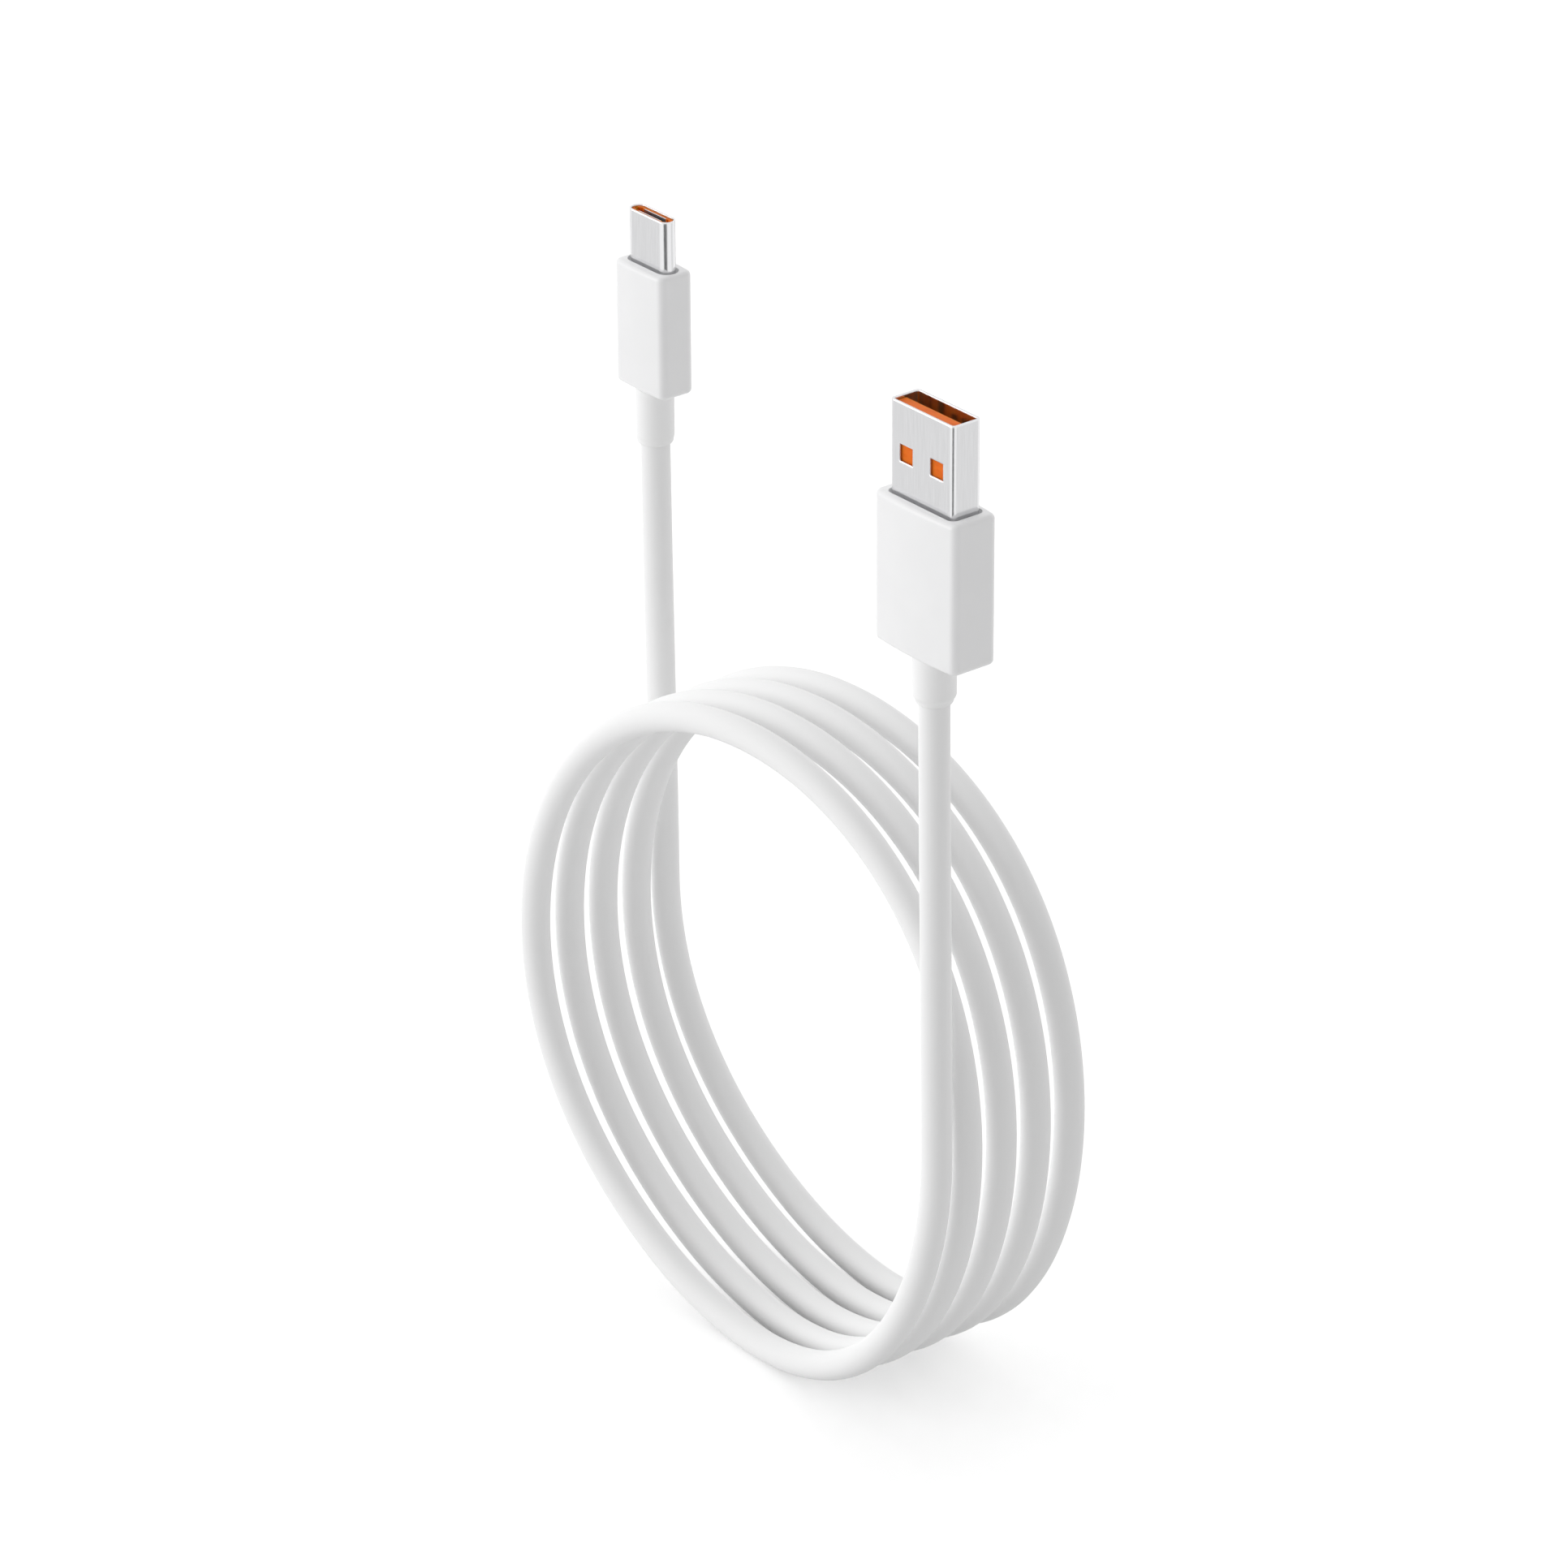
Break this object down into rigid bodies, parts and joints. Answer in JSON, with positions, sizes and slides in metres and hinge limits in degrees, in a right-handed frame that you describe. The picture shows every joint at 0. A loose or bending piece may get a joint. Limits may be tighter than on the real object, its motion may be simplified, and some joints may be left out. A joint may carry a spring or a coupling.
{
  "type": "charging cable",
  "caption": "Charging and data cable with a flat plug and a small oval plug, its round cord wound into an upright coil between two soft strain reliefs.",
  "frame": {"origin": "centre of the flat plug's steel shell, in the plane of its overmould's open end, which is the seat of the plug", "axes": "+Z points out of the flat plug's mouth, +X runs along the plugs' broad side, +Y runs from the coil's near loop to its far loop"},
  "size_m": [0.101, 0.0311, 0.1499],
  "materials": {
    "board_green": "lacquered",
    "braid_metal": "woven",
    "case_white": "smooth satin",
    "gold_contact": "gold plated",
    "inner_plastic": "matte",
    "jacket_white": "soft satin",
    "orange_plastic": "satin",
    "plug_steel": "bright, finely drawn",
    "resistor_black": "matte",
    "sheet_steel": "plain",
    "solder": "bright",
    "wire_black": "satin",
    "wire_green": "satin",
    "wire_pale": "satin",
    "wire_red": "satin"
  },
  "bodies": {
    "usb_a_plug": {"usb_a_braid_end": "braid_metal", "usb_a_contact_data_minus": "gold_contact", "usb_a_contact_data_plus": "gold_contact", "usb_a_contact_ground": "gold_contact", "usb_a_contact_insulator": "orange_plastic", "usb_a_contact_power": "gold_contact", "usb_a_crimp_ring": "sheet_steel", "usb_a_inner_mould": "inner_plastic", "usb_a_jacket_end": "jacket_white", "usb_a_overmould": "case_white", "usb_a_rear_shield": "sheet_steel", "usb_a_shell": "plug_steel", "usb_a_solder_joints": "solder", "usb_a_strain_relief": "case_white", "usb_a_wire_data_minus": "wire_pale", "usb_a_wire_data_plus": "wire_green", "usb_a_wire_ground": "wire_black", "usb_a_wire_power": "wire_red"},
    "cord": {"cord_jacket_coil": "jacket_white", "cord_jacket_to_usb_a": "jacket_white", "cord_jacket_to_usb_c": "jacket_white", "cord_shield_braid": "braid_metal", "cord_wire_data_minus": "wire_pale", "cord_wire_data_plus": "wire_green", "cord_wire_ground": "wire_black", "cord_wire_power": "wire_red"},
    "usb_c_plug": {"usb_c_braid_end": "braid_metal", "usb_c_circuit_board": "board_green", "usb_c_contact_insulator": "orange_plastic", "usb_c_crimp_ring": "sheet_steel", "usb_c_inner_mould": "inner_plastic", "usb_c_jacket_end": "jacket_white", "usb_c_left_latch": "sheet_steel", "usb_c_lower_contacts": "gold_contact", "usb_c_lower_ground_spring": "sheet_steel", "usb_c_overmould": "case_white", "usb_c_pull_up_resistor": "resistor_black", "usb_c_rear_shield": "sheet_steel", "usb_c_right_latch": "sheet_steel", "usb_c_shell": "plug_steel", "usb_c_solder_joints": "solder", "usb_c_strain_relief": "case_white", "usb_c_upper_contacts": "gold_contact", "usb_c_upper_ground_spring": "sheet_steel", "usb_c_wire_data_minus": "wire_pale", "usb_c_wire_data_plus": "wire_green", "usb_c_wire_ground": "wire_black", "usb_c_wire_power": "wire_red"}
  },
  "joints": [
    {"name": "usb_a_bend", "type": "hinge", "parent": "usb_a_plug", "child": "cord", "pos_m": [0, 0, -0.02365], "axis": [1, 0, 0], "range_deg": [-25, 25], "stiffness_Nm_per_rad": 0.15, "deforming": ["usb_a_braid_end", "usb_a_jacket_end", "usb_a_strain_relief", "usb_a_wire_data_minus", "usb_a_wire_data_plus", "usb_a_wire_ground", "usb_a_wire_power"]},
    {"name": "usb_c_bend", "type": "hinge", "parent": "cord", "child": "usb_c_plug", "pos_m": [-0.088, 0.02444, -0.0242], "axis": [1, 0, 0], "range_deg": [-25, 25], "stiffness_Nm_per_rad": 0.12, "deforming": ["usb_c_braid_end", "usb_c_jacket_end", "usb_c_strain_relief", "usb_c_wire_data_minus", "usb_c_wire_data_plus", "usb_c_wire_ground", "usb_c_wire_power"]}
  ]
}
